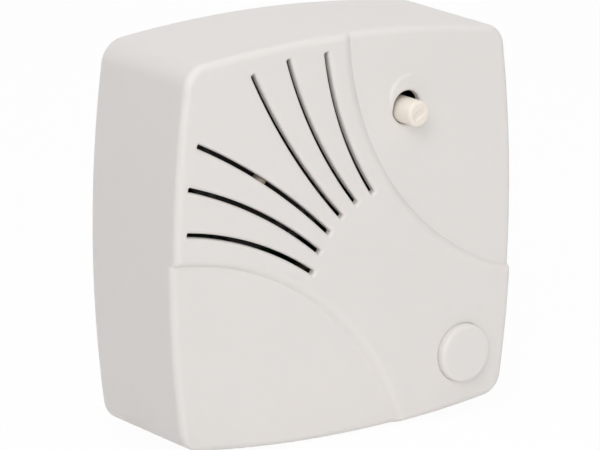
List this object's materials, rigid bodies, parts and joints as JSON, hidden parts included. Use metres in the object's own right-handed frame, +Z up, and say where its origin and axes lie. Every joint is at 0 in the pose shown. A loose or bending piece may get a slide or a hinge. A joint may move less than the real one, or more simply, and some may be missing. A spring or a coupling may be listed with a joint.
{
  "type": "alarm siren",
  "caption": "Square wall-mounted indoor alarm siren with bowed sides, a fan of curved sound slots over a loudspeaker, a volume spindle and a round push button.",
  "frame": {"origin": "centre of the wall plate's back face, on the wall", "axes": "+Z up, the front faces -Y, +Y goes into the wall, +X to the right as seen from the front"},
  "size_m": [0.1, 0.0402, 0.1],
  "materials": {
    "cover_plastic": "fine satin",
    "base_plastic": "satin",
    "cream_plastic": "satin",
    "black_plastic": "satin",
    "red_plastic": "gloss",
    "green_plastic": "satin",
    "board": "satin solder mask",
    "capacitor_sleeve": "gloss",
    "resistor_lacquer": "gloss",
    "steel": "zinc plated",
    "black_steel": "black oxide",
    "tin": "bright",
    "brass": "bright",
    "copper": "enamelled",
    "foam": "matt",
    "black_paper": "matt",
    "spider_cloth": "matt",
    "glue": "satin",
    "ferrite": "matt"
  },
  "bodies": {
    "housing": {"front_cover": "cover_plastic", "base_plate": "base_plastic", "potentiometer_body": "black_plastic", "switch_body": "black_plastic", "circuit_board": "board", "board_screws": "steel", "terminal_block": "green_plastic", "terminal_screws": "steel", "main_capacitor": "capacitor_sleeve", "small_capacitors": "capacitor_sleeve", "tone_chip": "black_plastic", "chip_legs": "tin", "output_transistor": "black_plastic", "resistors": "resistor_lacquer", "diode": "black_plastic", "solder_joints": "tin", "speaker_gasket": "foam", "speaker_frame": "black_steel", "cone_surround": "black_paper", "spider": "spider_cloth", "top_plate": "steel", "ring_magnet": "ferrite", "pole_yoke": "steel", "terminal_strip": "black_plastic", "solder_lugs": "brass", "speaker_wires": "red_plastic", "clamp_washers": "black_steel", "clamp_screws": "black_steel"},
    "volume_control": {"volume_knob": "cream_plastic", "potentiometer_rotor": "cream_plastic"},
    "button": {"push_button": "cover_plastic"},
    "plunger": {"switch_plunger": "red_plastic"},
    "cone": {"speaker_cone": "black_paper", "dust_cap": "black_paper", "lead_glue_dots": "glue", "voice_coil": "copper"}
  },
  "joints": [
    {"name": "volume_turn", "type": "hinge", "parent": "housing", "child": "volume_control", "pos_m": [0.0168, -0.03, 0.0287], "axis": [0, -1, 0], "range_deg": [-72, 192]},
    {"name": "button_press", "type": "slide", "parent": "housing", "child": "button", "axis": [0, 1, 0], "range_m": [0, 0.0012], "stiffness_N_per_m": 2000},
    {"name": "plunger_press", "type": "slide", "parent": "housing", "child": "plunger", "axis": [0, 1, 0], "range_m": [0, 0.0012], "stiffness_N_per_m": 500},
    {"name": "cone_travel", "type": "slide", "parent": "housing", "child": "cone", "axis": [0, -1, 0], "range_m": [-0.0005, 0.0005], "stiffness_N_per_m": 3000}
  ],
  "couplings": [
    {"joint": "plunger_press", "follows": "button_press", "ratio": 1}
  ]
}
